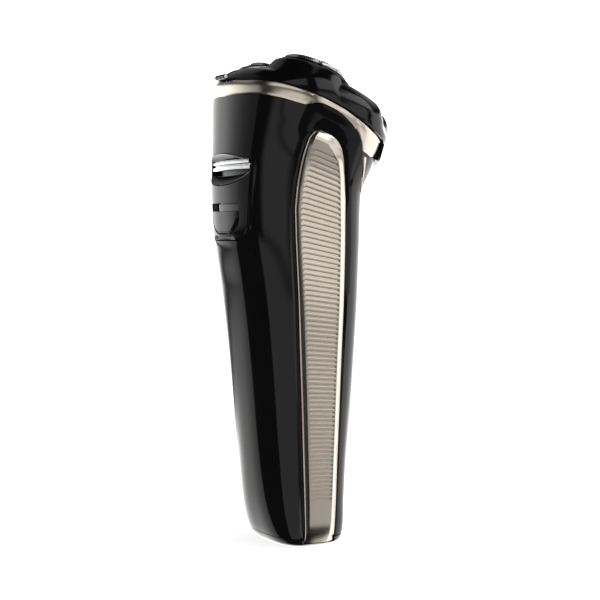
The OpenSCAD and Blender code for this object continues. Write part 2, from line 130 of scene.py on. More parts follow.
def power(x, exponent):
    return math.copysign(abs(x) ** exponent, x)


def outline(angle, half, back, front, squareness):
    turn = math.radians(angle)
    c, s = math.cos(turn), math.sin(turn)
    reach = back if s >= 0 else front
    return half * power(c, 2 / squareness), reach * power(s, 2 / squareness)


def skin(angle, level, lift=0.0):
    """Point of the skin: angle 90 is the back, 180 the -X side and 270 the front."""
    half, back, front, lean, squareness = section(round(level, 4))
    x, v = outline(angle, half + lift, back + lift, front + lift, squareness)
    lean = math.radians(lean)
    return Vector((x, v * math.cos(lean), level + v * math.sin(lean)))


def side_angle(v, level):
    """Angle of the -X side's point that lies v behind the side line."""
    half, back, front, lean, squareness = section(round(level, 4))
    share = min(abs(v) / (back if v >= 0 else front), 1.0) ** (squareness / 2)
    return 180 - math.copysign(math.degrees(math.asin(share)), v)


def in_head(x, v, w):
    """Point of the tilted head frame, with w measured from the parting plane."""
    c, s = math.cos(TILT), math.sin(TILT)
    return Vector((x, v * c - w * s, PARTING + v * s + w * c))


def back_level(z, x):
    """Level of the back skin's point at a height z and a place x across."""
    low, high = 80.0, PARTING
    for _ in range(24):
        level = (low + high) / 2
        low, high = (level, high) if skin(back_angle(x, level), level).z < z else (low, level)
    return low


def back_angle(x, level):
    """Angle of the back skin's point at a place x across."""
    half, back, front, lean, squareness = section(round(level, 4))
    turn = math.degrees(math.acos(min(abs(x) / half, 1.0) ** (squareness / 2)))
    return turn if x >= 0 else 180 - turn


def back_skin(x, z, lift=0.0):
    level = back_level(z, x)
    return skin(back_angle(x, level), level, lift)


# ---------- mesh helpers

def new_bmesh():
    bm = bmesh.new()
    bm.verts.layers.int.new("column")
    bm.verts.layers.int.new("row")
    return bm


def add_sheet(bm, columns, rows, place):
    """Adds a sheet of columns x rows faces, each corner where place(column, row) says."""
    column, row = bm.verts.layers.int["column"], bm.verts.layers.int["row"]
    for vert in bmesh.ops.create_grid(bm, x_segments=columns, y_segments=rows, size=0.5)["verts"]:
        vert[column] = round((vert.co.x + 0.5) * columns)
        vert[row] = round((vert.co.y + 0.5) * rows)
        vert.co = place(vert[column], vert[row])


def mirror_across(bm):
    """Adds the +X half of a mesh that has its -X half."""
    bmesh.ops.mirror(bm, geom=bm.verts[:] + bm.edges[:] + bm.faces[:], matrix=Matrix.Identity(4),
                     merge_dist=0.001, axis="X")


def add_wall(bm, inner):
    """Closes a sheet with a second side, each corner where inner(column, row) says."""
    column, row = bm.verts.layers.int["column"], bm.verts.layers.int["row"]
    made = bmesh.ops.extrude_face_region(bm, geom=bm.faces[:])["geom"]
    for vert in made:
        if isinstance(vert, bmesh.types.BMVert):
            point = inner(vert[column], vert[row])
            if vert.co.x > 0 > point.x:
                point.x = -point.x
            vert.co = point


def walled(columns, rows, outer, inner):
    """A bmesh of a sheet on the -X side, its mirror image and the inner wall that closes them."""
    bm = new_bmesh()
    add_sheet(bm, columns, rows, outer)
    mirror_across(bm)
    add_wall(bm, inner)
    return bm


def weld(bm):
    bmesh.ops.remove_doubles(bm, verts=bm.verts[:], dist=0.001)


def close_ends(bm):
    """Welds a sheet that meets itself and fills its open ends."""
    weld(bm)
    bmesh.ops.holes_fill(bm, edges=[e for e in bm.edges if e.is_boundary], sides=0)


def join_to(bm, part):
    """Adds a finished bmesh to another and frees it."""
    mesh = bpy.data.meshes.new("part")
    part.to_mesh(mesh)
    part.free()
    bm.from_mesh(mesh)
    bpy.data.meshes.remove(mesh)


def shade(mesh, sharp_angle):
    for polygon in mesh.polygons:
        polygon.use_smooth = True
    mesh.set_sharp_from_angle(angle=math.radians(sharp_angle))


def make_piece(bm, name, material, sharp_angle=32):
    """Turns a bmesh in millimetres into a finished object in metres."""
    bmesh.ops.recalc_face_normals(bm, faces=bm.faces[:])
    bmesh.ops.scale(bm, vec=(MM, MM, MM), verts=bm.verts[:])
    mesh = bpy.data.meshes.new(name)
    bm.to_mesh(mesh)
    bm.free()
    mesh.materials.append(material)
    shade(mesh, sharp_angle)
    piece = bpy.data.objects.new(name, mesh)
    bpy.context.scene.collection.objects.link(piece)
    return piece


def carve(piece, *cutters):
    """Cuts closed cutters out of a closed piece and deletes the cutters."""
    for cutter in cutters:
        cut = piece.modifiers.new("cut", "BOOLEAN")
        cut.operation = "DIFFERENCE"
        cut.solver = "EXACT"
        cut.object = cutter
    bpy.context.view_layer.update()
    evaluated = piece.evaluated_get(bpy.context.evaluated_depsgraph_get())
    mesh = bpy.data.meshes.new_from_object(evaluated)
    piece.modifiers.clear()
    piece.data = mesh
    for cutter in cutters:
        bpy.data.objects.remove(cutter)
    while len(mesh.materials) > 1:
        mesh.materials.pop()
    for polygon in mesh.polygons:
        polygon.material_index = 0
    shade(mesh, 32)


def place_on(piece, body, slot, *nodes):
    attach(piece, body)
    if nodes:
        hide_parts(*nodes)
    return piece


def turned_piece(name, profile, steps, place, material, sharp_angle=32):
    """Spins a closed profile of (radius, height) points round Z; place puts each corner."""
    bm = bmesh.new()
    ring = bmesh.ops.create_circle(bm, segments=len(profile), radius=1)["verts"]
    for vert, (radius, height) in zip(ring, profile):
        vert.co = (radius, 0, height)
    bmesh.ops.spin(bm, geom=bm.verts[:] + bm.edges[:], cent=(0, 0, 0), axis=(0, 0, 1),
                   angle=math.tau, steps=steps, use_merge=True)
    bmesh.ops.remove_doubles(bm, verts=bm.verts[:], dist=0.0005)
    for vert in bm.verts:
        vert.co = place(vert.co)
    return make_piece(bm, name, material, sharp_angle)


def rounded(points, radius, steps=3):
    """A closed outline with its corners cut to small arcs."""
    made = []
    for i, corner in enumerate(points):
        before, after = Vector(points[i - 1]), Vector(points[(i + 1) % len(points)])
        corner = Vector(corner)
        back, on = before - corner, after - corner
        if corner.x == 0 or back.length < 1e-6 or on.length < 1e-6:
            made.append(tuple(corner))
            continue
        reach = min(radius, back.length * 0.45, on.length * 0.45)
        start, end = corner + back.normalized() * reach, corner + on.normalized() * reach
        for k in range(steps + 1):
            s = k / steps
            made.append(tuple((1 - s) ** 2 * start + 2 * s * (1 - s) * corner + s * s * end))
    return made


# ---------- materials

def link(tree, output, socket):
    tree.links.new(output, socket)


def new_material(name, **constants):
    material = bpy.data.materials.new(name)
    material.use_nodes = True
    shader = material.node_tree.nodes["Principled BSDF"]
    for key, value in constants.items():
        shader.inputs[key.replace("_", " ")].default_value = value
    return material, material.node_tree, shader


def new_group(name, inputs, outputs):
    """Empty shader group with named float inputs (name, default) and outputs (name, type)."""
    group = bpy.data.node_groups.new(name, "ShaderNodeTree")
    for label, default in inputs:
        socket = group.interface.new_socket(label, in_out="INPUT", socket_type="NodeSocketFloat")
        socket.default_value = default
    for label, kind in outputs:
        group.interface.new_socket(label, in_out="OUTPUT", socket_type=kind)
    return group, group.nodes.new("NodeGroupInput"), group.nodes.new("NodeGroupOutput")


def math_node(tree, operation, a, b=None, c=None):
    node = tree.nodes.new("ShaderNodeMath")
    node.operation = operation
    for socket, value in zip(node.inputs, (a, b, c)):
        if isinstance(value, (int, float)):
            socket.default_value = value
        elif value is not None:
            link(tree, value, socket)
    return node.outputs[0]


def noise_node(tree, vector, scale, detail=2.0, roughness=0.5):
    node = tree.nodes.new("ShaderNodeTexNoise")
    node.inputs["Scale"].default_value = scale
    node.inputs["Detail"].default_value = detail
    node.inputs["Roughness"].default_value = roughness
    link(tree, vector, node.inputs["Vector"])
    return node.outputs["Fac"]


def make_handling_group():
    """Fine wear of a handled surface: a slow cloudy mask and a fine grain height."""
    group, given, out = new_group(
        "handling", [("Cloud size", 60.0), ("Grain size", 4000.0)],
        [("Cloud", "NodeSocketFloat"), ("Grain", "NodeSocketFloat")])
    place = group.nodes.new("ShaderNodeTexCoord").outputs["Object"]
    for label, size, detail in (("Cloud", "Cloud size", 4.0), ("Grain", "Grain size", 2.0)):
        noise = group.nodes.new("ShaderNodeTexNoise")
        noise.inputs["Detail"].default_value = detail
        link(group, place, noise.inputs["Vector"])
        link(group, given.outputs[size], noise.inputs["Scale"])
        link(group, noise.outputs["Fac"], out.inputs[label])
    return group


def make_brushing_group():
    """Fine straight brushing that runs round the handle, as a height and a tone."""
    group, given, out = new_group(
        "brushing", [("Lines", 9000.0), ("Along", 180.0)],
        [("Height", "NodeSocketFloat"), ("Tone", "NodeSocketFloat")])
    place = group.nodes.new("ShaderNodeTexCoord").outputs["Object"]
    split = group.nodes.new("ShaderNodeSeparateXYZ")
    link(group, place, split.inputs[0])
    joined = group.nodes.new("ShaderNodeCombineXYZ")
    for i, size in enumerate(("Along", "Along", "Lines")):
        link(group, math_node(group, "MULTIPLY", split.outputs[i], given.outputs[size]),
             joined.inputs[i])
    noise = noise_node(group, joined.outputs[0], 1.0, 3.0, 0.6)
    link(group, noise, out.inputs["Height"])
    link(group, math_node(group, "MULTIPLY_ADD", noise, 0.5, 0.75), out.inputs["Tone"])
    return group


handling = make_handling_group()
brushing = make_brushing_group()


def add_group(tree, group, **values):
    node = tree.nodes.new("ShaderNodeGroup")
    node.node_tree = group
    for key, value in values.items():
        node.inputs[key.replace("_", " ")].default_value = value
    return node


def blend_colours(tree, factor, dark, light):
    mix = tree.nodes.new("ShaderNodeMix")
    mix.data_type = "RGBA"
    mix.inputs[6].default_value = (*dark, 1)
    mix.inputs[7].default_value = (*light, 1)
    link(tree, factor, mix.inputs[0])
    return mix.outputs[2]


def add_bump(tree, shader, height, distance, strength=1.0):
    bump = tree.nodes.new("ShaderNodeBump")
    bump.inputs["Distance"].default_value = distance
    bump.inputs["Strength"].default_value = strength
    link(tree, height, bump.inputs["Height"])
    link(tree, bump.outputs["Normal"], shader.inputs["Normal"])


def range_of(tree, value, low, high):
    node = tree.nodes.new("ShaderNodeMapRange")
    node.inputs["From Min"].default_value = 0.3
    node.inputs["From Max"].default_value = 0.7
    node.inputs["To Min"].default_value = low
    node.inputs["To Max"].default_value = high
    link(tree, value, node.inputs["Value"])
    return node.outputs["Result"]


def moulded(name, dark, light, smooth, rough, grain=2500.0, depth=0.000004, **constants):
    """Moulded plastic: a slightly uneven colour and sheen with a fine grain."""
    material, tree, shader = new_material(name, **constants)
    wear = add_group(tree, handling, Cloud_size=90.0, Grain_size=grain)
    link(tree, blend_colours(tree, wear.outputs["Cloud"], dark, light), shader.inputs["Base Color"])
    link(tree, range_of(tree, wear.outputs["Cloud"], smooth, rough), shader.inputs["Roughness"])
    add_bump(tree, shader, wear.outputs["Grain"], depth)
    return material


def brushed(name, dark, light, smooth, rough, lines=9000.0, depth=0.000003, **constants):
    """Metal or metal paint with fine brushing round the handle."""
    material, tree, shader = new_material(name, Metallic=1.0, **constants)
    strokes = add_group(tree, brushing, Lines=lines)
    link(tree, blend_colours(tree, strokes.outputs["Tone"], dark, light),
         shader.inputs["Base Color"])
    link(tree, range_of(tree, strokes.outputs["Height"], smooth, rough),
         shader.inputs["Roughness"])
    add_bump(tree, shader, strokes.outputs["Height"], depth)
    return material


gloss_black = moulded("gloss_black", (0.003, 0.003, 0.0034), (0.005, 0.005, 0.0055), 0.05, 0.1,
                      grain=900.0, depth=0.0000003, IOR=1.31)
bronze = brushed("bronze_satin", (0.41, 0.365, 0.31), (0.57, 0.515, 0.445), 0.18, 0.26)
chrome = brushed("chrome", (0.40, 0.41, 0.42), (0.50, 0.51, 0.52), 0.07, 0.12, 5000.0, 0.000001)
shaving_steel = brushed("shaving_steel", (0.36, 0.37, 0.38), (0.50, 0.51, 0.52), 0.12, 0.2)
fastener_steel = brushed("fastener_steel", (0.42, 0.42, 0.44), (0.6, 0.6, 0.61), 0.22, 0.36)
dark_plastic = moulded("dark_plastic", (0.012, 0.012, 0.013), (0.022, 0.022, 0.024), 0.38, 0.5,
                       depth=0.00001)
white_plastic = moulded("white_plastic", (0.60, 0.59, 0.56), (0.72, 0.71, 0.68), 0.32, 0.45,
                        depth=0.000006)
copper = brushed("copper_winding", (0.36, 0.15, 0.07), (0.62, 0.30, 0.15), 0.25, 0.42)
battery_wrap = moulded("battery_wrap", (0.02, 0.07, 0.17), (0.03, 0.1, 0.23), 0.2, 0.3)
board_green = moulded("board_green", (0.008, 0.09, 0.035), (0.014, 0.13, 0.055), 0.25, 0.4)
light_lens = moulded("light_lens", (0.55, 0.68, 0.78), (0.65, 0.78, 0.88), 0.12, 0.2)
MATERIALS = {
    "gloss_black": gloss_black, "bronze_satin": bronze, "shaving_steel": shaving_steel,
    "chrome": chrome, "fastener_steel": fastener_steel, "dark_plastic": dark_plastic,
    "white_plastic": white_plastic, "copper_winding": copper, "battery_wrap": battery_wrap,
    "board_green": board_green, "light_lens": light_lens,
}

for part in frame["record"]["subparts"]:
    cad_mesh = frame["nodes"][part["node"]].data
    cad_mesh.materials.clear()
    cad_mesh.materials.append(MATERIALS[part["material_slot"]])

# ---------- edges drawn on the skin, as tables over the level

# Side grip outline: distance behind the side line
GRIP_BACK = [(1.5, 4.6), (15, 5.5), (47, 7.2), (79, 9.1), (98, 10.6), (108, 11.2), (116, 10.6),
             (124, 9.2), (130, 7.6), (132.5, 5.9), (133.6, 3.4), (137, 3.0), (141.5, 3.5)]
GRIP_FRONT = [(1.5, -6.6), (15, -7), (47, -7.6), (79, -8.1), (98, -8.4), (115, -8.3), (122, -7.6),
              (128, -6.4), (131, -5.2), (132.8, -3.2), (133.6, -1), (137, -1.5), (141.5, -2)]
GRIP_TOP = 133.6
# Crease where the chamfer round the grip starts
CREASE_BACK = [(3, 6.6), (15, 7.3), (47, 8.8), (79, 11.0), (94, 12.2), (107, 12.9), (115, 12.2),
               (119, 11.2), (128, 9.7), (131.5, 7.9), (134.5, 6.2), (137.1, 4.2), (141.5, 4.6)]
CREASE_FRONT = [(3, -7.3), (14, -7.5), (47, -8.3), (81, -9.5), (98, -10.2), (115, -9.9),
                (125, -9.2), (133.5, -7.7), (136.4, -5.2), (137.1, -3.4), (141.5, -3.8)]
CREASE_TOP = 137.1
# Outer edge of the shoulder facet above the grip, on the back
FACET_BACK = [(level, v + 0.01) for level, v in CREASE_BACK if level < 130]
FACET_BACK += [(131, 12.2), (139, 9.6), (141.5, 9.4)]
# Its front edge, as an angle: under the bronze arm, then the front corner of the handle
FACET_FRONT = [(3, 226), (60, 227), (100, 227), (119, 226), (126, 216.2), (132.2, 207.6),
               (135.5, 204), (141.5, 196)]

# Wave of the parting line: angle, lift above the parting plane
PARTING_LIFT = [(90, 0.0), (112, 0.1), (128, 0.9), (140, 1.6), (172, 1.8), (185, 1.6),
                (197, 0.8), (212, 0.2), (240, 0.0)]
# Lower edge of the bronze collar: angle, level
COLLAR_LOW = [(90, 136.6), (100, 137.0), (113, 137.2), (128.5, 137.9), (143, 138.5), (156, 138.7),
              (162, 139.0), (165, 139.7), (169, 140.8), (174, 141.6), (180, 141.6), (185, 141.0),
              (192, 139.6), (198.5, 137.7), (203.5, 135.4), (207.2, 132.4), (214.2, 132.4),
              (219, 133.6), (225.5, 134.6), (232, 136.0), (240, 136.6)]
# The shells reach the release button from this angle on, up to this level
BUTTON_EDGE = 230
BUTTON_LOW = 134.3


def parting_lift(angle):
    """How far the parting line rises above the parting plane, alike on both sides."""
    angle = angle % 360
    mirrored = 180 - angle if angle < 90 else 540 - angle if angle > 270 else angle
    return lookup(PARTING_LIFT, mirrored)


def collar_low(angle):
    return lookup(COLLAR_LOW, angle)


def shell_top(angle):
    """Highest level of the black shells: the collar's lower edge, or the release button's."""
    if angle > BUTTON_EDGE:
        return BUTTON_LOW
    return collar_low(angle) - 0.1


def spread(low, high, steps):
    return [low + (high - low) * i / steps for i in range(steps)]


# ---------- the two black shells

FACET_DEPTH = 0.35
GRIP_DEPTH = 1.15
POCKET_DEPTH = 1.75


def shell_lines(level):
    """Angles of the shell's key lines at a level, each with its lift off the skin."""
    above = max(level - GRIP_TOP, 0) / (CREASE_TOP - GRIP_TOP)
    facet = FACET_DEPTH * ease((level - 128) / 6) * (1 - ease((level - 137.1) / 4))
    front = 0.3 * (1 - ease((level - 137.1) / 4))
    edge = GRIP_DEPTH + (facet - GRIP_DEPTH) * min(above, 1)
    if above > 1:
        edge = facet
    floor = POCKET_DEPTH if level <= GRIP_TOP + SEAM else edge
    rim = 0.12 if level <= GRIP_TOP + SEAM else 0.3
    back, front_edge = lookup(GRIP_BACK, level) + SEAM, lookup(GRIP_FRONT, level) - SEAM
    points = [
        (side_angle(lookup(FACET_BACK, level), level), 0.0),
        (side_angle(lookup(CREASE_BACK, level), level), -facet),
        (side_angle(back, level), -edge),
        (side_angle(back - rim, level), -floor),
        (side_angle(front_edge + rim, level), -floor),
        (side_angle(front_edge, level), -edge),
        (side_angle(lookup(CREASE_FRONT, level), level), -front),
        (lookup(FACET_FRONT, level), 0.0),
    ]
    return [(90.0, 0.0)] + points + [(float(FASCIA_EDGE), 0.0)]


SHELL_STEPS = [42, 4, 5, 1, 5, 1, 5, 9, 8]


def along_lines(lines, steps, column):
    """Angle and lift of a column that runs between key lines."""
    i = 0
    while column > steps[i]:
        column -= steps[i]
        i += 1
    share = column / steps[i]
    (a, lift_a), (b, lift_b) = lines[i], lines[i + 1]
    return a + (b - a) * share, lift_a + (lift_b - lift_a) * share


ROW_HEIGHT = 0.8
LOWER_LEVELS = [BASE_TOP + SEAM + i * ROW_HEIGHT
                for i in range(int((130 - BASE_TOP) / ROW_HEIGHT))]
UPPER_LEVELS = spread(LOWER_LEVELS[-1] + 0.6, GRIP_TOP + SEAM, 6)
SHELL_LEVELS = LOWER_LEVELS + UPPER_LEVELS + [GRIP_TOP + SEAM, GRIP_TOP + SEAM + 0.12]
CREASE_ROWS = 6
TOP_ROWS = 7

DISH_Z = 123.0
DISH_HALF = 14.6
DISH_TALL = 4.5
DISH_DEPTH = 2.6


def flap_depth(x, z):
    """Distance inside the flap's outline, negative outside it."""
    if z < 105.6:
        return 5.5 - math.hypot(max(abs(x) - 7.4, 0), 105.6 - z)
    return flap_half(z) - abs(x)


def land(point):
    """Height of the raised land that frames the trimmer flap."""
    if point.y < 0:
        return 0.0
    return 0.22 * ease((flap_depth(point.x, point.z) + 1.3) / 0.6) * ease((134 - point.z) / 14)


def make_dish():
    """Closed cutter for the scoop round the trimmer's bars."""
    bm = bmesh.new()
    bmesh.ops.create_uvsphere(bm, u_segments=96, v_segments=64, radius=1)
    bmesh.ops.scale(bm, vec=(DISH_HALF + 1.2, DISH_DEPTH + 1.1, DISH_TALL + 0.9), verts=bm.verts[:])
    centre = back_skin(0, DISH_Z, 0.55)
    for vert in bm.verts:
        vert.co = Vector((vert.co.x, vert.co.y + centre.y - 0.012 * vert.co.x ** 2, vert.co.z + DISH_Z))
    return make_piece(bm, "dish", dark_plastic)


def flap_half(z):
    """Half width of the trimmer flap at a height."""
    if z < 100.1:
        return 7.4
    if z < 105.6:
        return 7.4 + math.sqrt(max(5.5 ** 2 - (105.6 - z) ** 2, 0))
    return 12.9 + (14.6 - 12.9) * min((z - 105.6) / 16.2, 1)


def shell_level(row, angle):
    if row < len(SHELL_LEVELS):
        return SHELL_LEVELS[row]
    top = shell_top(angle)
    base = SHELL_LEVELS[-1]
    middle = min(CREASE_TOP, base + (top - base) * 0.5)
    row -= len(SHELL_LEVELS) - 1
    if row <= CREASE_ROWS:
        return base + (middle - base) * row / CREASE_ROWS
    return middle + (top - middle) * (row - CREASE_ROWS) / TOP_ROWS


SHELL_ROWS = len(SHELL_LEVELS) - 1 + CREASE_ROWS + TOP_ROWS


def shell_place(column, row):
    """Angle, level and lift of a corner of the rear shell."""
    level = shell_level(row, 160)
    for _ in range(3):
        angle, lift = along_lines(shell_lines(level), SHELL_STEPS, column)
        level = shell_level(row, angle)
    return angle, level, lift


def rear_shell_point(column, row):
    angle, level, lift = shell_place(column, row)
    point = skin(angle, level, lift)
    if angle < 150 and level > 80:
        point = skin(angle, level, lift + land(point))
    return point


def rear_shell_inner(column, row):
    angle, level, lift = shell_place(column, row)
    if angle < 135 and level > 108:
        return skin(angle, level, -WALL - 2.4)
    return skin(angle, level, -POCKET_DEPTH - 0.9 if lift < -0.3 else -WALL)


def prism(name, corners, length):
    """Closed cutter that runs from a flat outline of corners along the vector length."""
    bm = bmesh.new()
    flat = bmesh.ops.create_circle(bm, cap_ends=True, segments=len(corners), radius=1)["verts"]
    for vert, corner in zip(flat, corners):
        vert.co = corner
    made = bmesh.ops.extrude_face_region(bm, geom=bm.faces[:])["geom"]
    bmesh.ops.translate(bm, vec=length,
                        verts=[v for v in made if isinstance(v, bmesh.types.BMVert)])
    return make_piece(bm, name, dark_plastic)


FLAP_LOW = 100.1
FLAP_TOP = 121.8


def flap_outline(grow, top):
    """Half outline of the flap from the bottom up, mirrored, as (x, z) points."""
    heights = [FLAP_LOW + 5.5 * (1 - math.cos(i * math.pi / 24)) for i in range(13)] + [113, 118]
    right = [(flap_half(z) + grow, z) for z in heights if z > FLAP_LOW + 0.2]
    right = [(7.4, FLAP_LOW - grow), (9.2, FLAP_LOW - grow + 0.25)] + right + [(14.4 + grow, top)]
    return right + [(-x, z) for x, z in reversed(right)]


def make_rear_shell():
    bm = walled(sum(SHELL_STEPS), SHELL_ROWS, rear_shell_point, rear_shell_inner)
    piece = make_piece(bm, "rear_shell_skin", gloss_black)
    corners = [(x, 12, z) for x, z in flap_outline(0.3, 125.9)]
    window = prism("window", corners, (0, 28, 0))
    carve(piece, window, make_dish())
    return place_on(piece, "handle", "gloss_black", "rear_shell")


FASCIA_COLUMNS = 16
FASCIA_ROWS = 150


def fascia_point(column, row, lift=0.0):
    angle = FASCIA_EDGE + 0.5 + (270 - FASCIA_EDGE - 0.5) * column / FASCIA_COLUMNS
    level = BASE_TOP + SEAM + (BUTTON_LOW - BASE_TOP - SEAM) * row / FASCIA_ROWS
    return skin(angle, level, lift)


def cylinder(name, radius, steps, length, place):
    """Closed cutter: a cylinder about Z round the origin, each corner put where place says."""
    bm = bmesh.new()
    bmesh.ops.create_cone(bm, cap_ends=True, segments=steps, radius1=radius, radius2=radius,
                          depth=length)
    for vert in bm.verts:
        vert.co = place(vert.co)
    return make_piece(bm, name, dark_plastic)


def front_hole(name, radius, z):
    """Cutter through the front of the handle."""
    return cylinder(name, radius, 72, 30, lambda co: Vector((co.x, -25 - co.z, z + co.y)))


BUTTON_Z = (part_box("power_button")[0].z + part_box("power_button")[1].z) / 2 / MM
BUTTON_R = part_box("button_bezel")[1].x / MM - 1.0
LIGHT_Z = (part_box("charge_light")[0].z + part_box("charge_light")[1].z) / 2 / MM


def make_front_fascia():
    bm = walled(FASCIA_COLUMNS, FASCIA_ROWS, fascia_point,
                lambda column, row: fascia_point(column, row, -WALL))
    piece = make_piece(bm, "front_fascia_skin", gloss_black)
    carve(piece, front_hole("button_hole", BUTTON_R + 1.05, BUTTON_Z),
          front_hole("light_hole", 1.5, LIGHT_Z))
    return place_on(piece, "handle", "gloss_black", "front_fascia")


# ---------- side grips

# Ribbed field of the grip: level, distance behind the side line
FIELD_BACK = [(2, 3.0), (14, 3.4), (31, 4.2), (47.5, 5.0), (63.5, 6.0), (79, 7.1), (98, 8.5),
              (107, 9.1), (114, 8.5), (120, 7.1), (124, 6.1), (127, 5.1), (129, 3.7), (130, 2.6),
              (133.6, 1.6)]
FIELD_FRONT = [(2, -4.0), (14, -4.2), (47.5, -4.8), (84, -5.3), (104, -5.5), (114, -5.1),
               (121, -4.8), (124.5, -4.1), (127, -2.9), (129, -0.7), (130, 0.8), (133.6, 1.0)]
# Back edge of the raised surface that carries the ribs
RAISE_BACK = [(2, 3.0), (14, 3.4), (31, 4.2), (47.5, 5.0), (63.5, 6.0), (79, 7.1), (98, 8.5),
              (107, 9.1), (114, 8.6), (120, 7.7), (124, 7.0), (128, 6.1), (131, 5.1), (132.6, 3.9),
              (133.6, 2.4)]
FIELD_LOW = 13.6
FIELD_TOP = 130.0
RIB_PITCH_LOW = 1.36
RIB_PITCH_TOP = 1.78
RIB_SHAPE = [(0.0, -0.03), (0.3, 0.0), (0.6, -0.05), (0.7, -0.5), (0.9, -0.5)]
PITCH_GROWTH = (RIB_PITCH_TOP - RIB_PITCH_LOW) / (FIELD_TOP - FIELD_LOW)
LIP = -0.55
BACK_LIP = -1.2
FIELD_LIFT = 0.42


def rib_level(count):
    """Level reached after a number of ribs down from the field's top."""
    pitch = RIB_PITCH_TOP * math.exp(-PITCH_GROWTH * count)
    return FIELD_LOW + (pitch - RIB_PITCH_LOW) / PITCH_GROWTH


GRIP_LOW = 1.3


def grip_rows():
    """Levels of the grip from the bottom up, each with the depth of the ribs there."""
    ribs = int(math.log(RIB_PITCH_TOP / RIB_PITCH_LOW) / PITCH_GROWTH)
    rows = [(rib_level(k + share), depth) for k in range(1, ribs) for share, depth in RIB_SHAPE]
    rows = list(reversed(rows[:-2]))
    below = [(level, 0.0) for level in spread(GRIP_LOW, rows[0][0] - 0.2, 14)]
    above = [(level, 0.0) for level in spread(rows[-1][0] + 0.3, GRIP_TOP, 9)]
    return below + rows + above + [(GRIP_TOP, 0.0)]


GRIP_ROWS = grip_rows()
GRIP_STEPS = [1, 1, 1, 4, 1, 1, 8, 1, 1, 4, 1, 1, 1]


def grip_lines(level, rib):
    """Places across the grip, back to front, each with its lift off the skin."""
    back, front = lookup(GRIP_BACK, level), lookup(GRIP_FRONT, level)
    raised, field_front = lookup(RAISE_BACK, level), lookup(FIELD_FRONT, level)
    field_back = min(lookup(FIELD_BACK, level), raised - 0.2)
    top = ease((GRIP_TOP - level) / 3.5)
    low = ease((level - GRIP_LOW) / 7)
    crown = LIP + (FIELD_LIFT - LIP) * top * (0.35 + 0.65 * low)
    return [
        (back, -1.5), (back, BACK_LIP - 0.1), (back - 0.12, BACK_LIP + 0.25),
        (min(back - 0.35, raised + 1.6), BACK_LIP + 0.3),
        (raised + 0.45, crown - 0.02), (field_back, crown),
        (field_back - 0.15, crown + rib), (field_front + 0.2, crown + rib * 1.15),
        (field_front + 0.1, crown), (field_front - 0.15, crown - 0.03),
        (front + 0.5, LIP + 0.03), (front + 0.12, LIP), (front, LIP - 0.12), (front, -1.4),
    ]


def grip_point(column, row):
    level, rib = GRIP_ROWS[row]
    v, lift = along_lines(grip_lines(level, rib), GRIP_STEPS, column)
    if level > GRIP_TOP - 0.6:
        lift = min(lift, LIP - 0.36 * ease((level - GRIP_TOP + 0.6) / 0.6))
    return skin(side_angle(v, level), level, lift)


def grip_inner(column, row):
    level = GRIP_ROWS[row][0]
    v = along_lines(grip_lines(level, 0.0), GRIP_STEPS, column)[0]
    return skin(side_angle(v, level), level, -1.6)


def make_grips():
    for side, label in ((-1, "left"), (1, "right")):
        bm = new_bmesh()
        add_sheet(bm, sum(GRIP_STEPS), len(GRIP_ROWS) - 1, grip_point)
        add_wall(bm, grip_inner)
        bmesh.ops.scale(bm, vec=(-side, 1, 1), verts=bm.verts[:])
        piece = make_piece(bm, f"ribbed_grip_{label}", bronze, 24)
        place_on(piece, "handle", "bronze_satin", f"side_grip_{label}")


# ---------- collar with its two arms

COLLAR_ROWS = [(0.0, -0.5), (0.015, -0.2), (0.07, -0.06), (0.3, 0.0), (0.6, 0.0), (0.92, -0.06),
               (0.985, -0.2), (1.0, -0.5)]
COLLAR_END = 230.4
COLLAR_STEPS = 190
# Sides of the arm: level, angle
ARM_SIDE = [(121.0, 224.6), (123.5, 220.4), (126, 215.9), (129, 211.8), (132.4, 207.2)]
ARM_FRONT = [(121.0, 225.6), (124.8, 221.4), (128.2, 218.2), (131, 215.4), (132.4, 214.2)]


def collar_point(column, row):
    angle = 90 + (COLLAR_END - 90) * column / COLLAR_STEPS
    share, lift = COLLAR_ROWS[row]
    low, top = collar_low(angle), PARTING
    level = low + (top - low) * share
    point = skin(angle, min(level, PARTING), lift)
    raised = parting_lift(angle) * share
    return point + raised * Vector((0, -math.sin(TILT), math.cos(TILT)))


def collar_inner(column, row):
    """Inner side of the collar, straight behind the skin where the release button slides."""
    angle = 90 + (COLLAR_END - 90) * column / COLLAR_STEPS
    point = collar_point(column, row)
    inwards = (in_head(0, HUB_V, -2) - point).normalized()
    straight = Vector((0, math.cos(TILT), math.sin(TILT)))
    return point + 2.2 * inwards.lerp(straight, ease((angle - 205) / 18))


ARM_LOW = ARM_SIDE[0][0]
ARM_RISE = ARM_SIDE[-1][0] - ARM_LOW
ARM_ROWS = 16
# Rows across the arm: share of its width, lift
ARM_PROFILE = [(0, -0.4), (0.05, 0.0), (0.3, 0.28), (0.7, 0.28), (0.95, 0.0), (1, -0.4)]


def arm_point(column, row):
    level = ARM_LOW + ARM_RISE * row / ARM_ROWS
    side, front = lookup(ARM_SIDE, level), lookup(ARM_FRONT, level)
    share, lift = ARM_PROFILE[column]
    return skin(side + (front - side) * share, level, lift)


def make_collar():
    bm = new_bmesh()
    add_sheet(bm, COLLAR_STEPS, len(COLLAR_ROWS) - 1, collar_point)
    add_wall(bm, collar_inner)
    add_arm(bm)
    mirror_across(bm)
    piece = make_piece(bm, "bronze_collar", bronze)
    return place_on(piece, "handle", "bronze_satin", "collar")


def add_arm(bm):
    """Adds the tongue that runs from the collar down the front corner of the handle."""
    arm = new_bmesh()
    add_sheet(arm, len(ARM_PROFILE) - 1, ARM_ROWS, arm_point)
    add_wall(arm, lambda column, row: arm_point(column, row) * 0.97
             + Vector((0, 0, 0.03 * (ARM_LOW + ARM_RISE * row / ARM_ROWS))))
    join_to(bm, arm)


# ---------- shaving head

